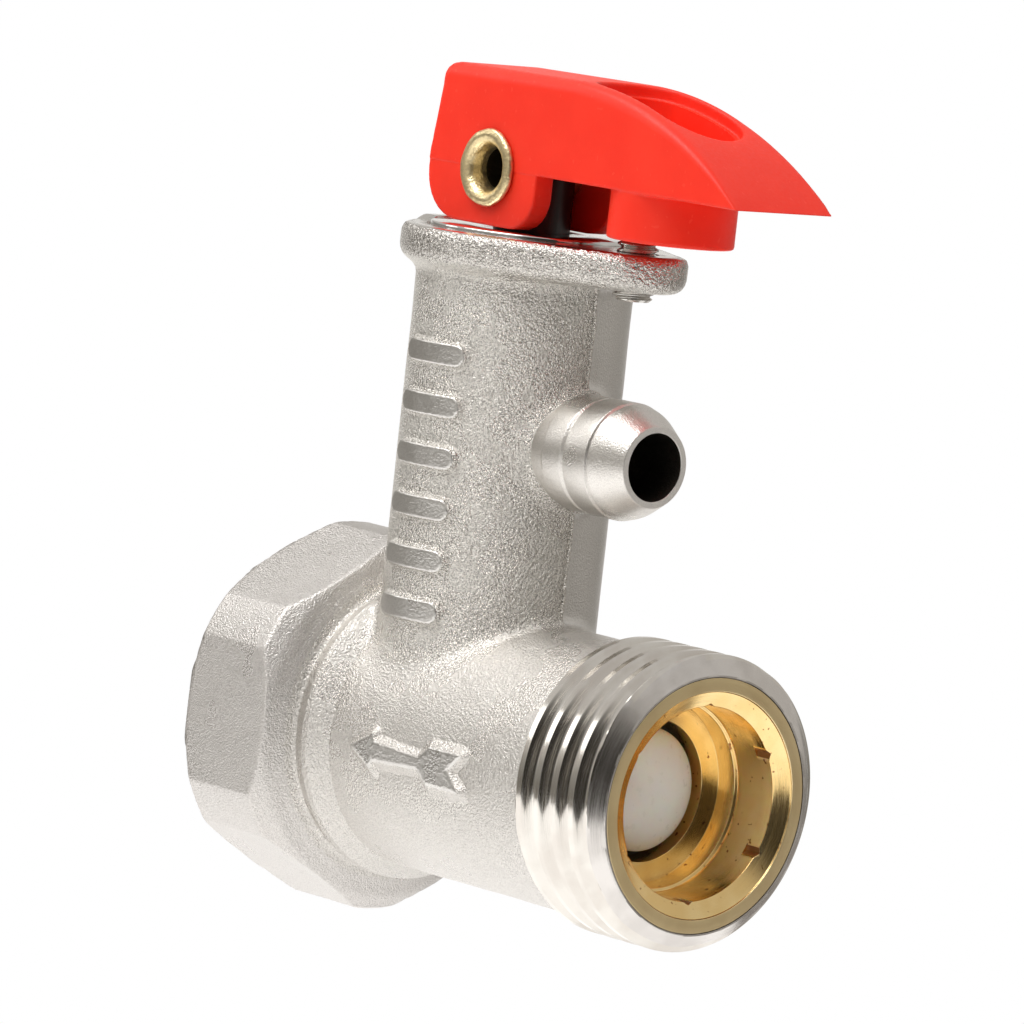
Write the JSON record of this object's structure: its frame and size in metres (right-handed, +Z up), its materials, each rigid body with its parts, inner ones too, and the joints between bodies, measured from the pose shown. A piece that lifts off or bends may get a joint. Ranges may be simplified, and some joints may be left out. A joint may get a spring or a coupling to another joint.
{
  "type": "pressure relief valve",
  "caption": "Pipe-thread relief valve with a check valve in its run, a drain nozzle on its branch and a red test lever.",
  "frame": {"origin": "centre of the tapped outlet's mouth, in the hexagon's rear face", "axes": "+X along the run towards the male inlet, +Z up the relief branch towards the lever, +Y across the valve"},
  "size_m": [0.043, 0.025, 0.0613],
  "materials": {
    "nickel_plated_brass": "bright nickel plate over a blasted forging",
    "turned_brass": "turned, satin",
    "eyelet_brass": "drawn, dull",
    "spring_steel": "drawn wire",
    "polished_steel": "mirror",
    "black_rubber": "moulded, matt",
    "red_plastic": "moulded, satin",
    "white_plastic": "moulded, satin",
    "black_plastic": "moulded"
  },
  "bodies": {
    "valve": {"valve_body": "nickel_plated_brass", "check_insert": "turned_brass", "insert_seal_ring": "black_rubber", "check_spring": "spring_steel", "check_guide": "white_plastic", "relief_spring": "spring_steel", "spring_washer": "polished_steel", "adjusting_plug": "turned_brass", "stem_seal_ring": "black_rubber", "wear_plate": "polished_steel"},
    "poppet": {"check_poppet": "white_plastic", "poppet_seal": "black_rubber"},
    "stem": {"stem": "black_plastic", "disc_holder": "turned_brass", "relief_disc": "black_rubber"},
    "lever": {"lever": "red_plastic", "pivot_eyelet": "eyelet_brass"},
    "screw": {"stop_screw": "polished_steel"}
  },
  "joints": [
    {"name": "stem_lift", "type": "slide", "parent": "valve", "child": "stem", "axis": [0, 0, 1], "range_m": [0, 0.00293], "stiffness_N_per_m": 6, "springref_m": -0.002, "deforming": ["relief_spring"]},
    {"name": "lever_lift", "type": "hinge", "parent": "stem", "child": "lever", "pos_m": [0.0172, 0, 0.04075], "axis": [0, -1, 0], "range_deg": [0, 60]},
    {"name": "check_poppet_travel", "type": "slide", "parent": "valve", "child": "poppet", "axis": [-1, 0, 0], "range_m": [0, 0.0025], "stiffness_N_per_m": 8, "springref_m": -0.001, "deforming": ["check_spring"]},
    {"name": "stop_screw_travel", "type": "slide", "parent": "valve", "child": "screw", "axis": [0, 0, 1], "range_m": [-0.001, 0]}
  ],
  "couplings": [
    {"joint": "lever_lift", "follows": "stem_lift", "rad_per_m": 357.14}
  ]
}
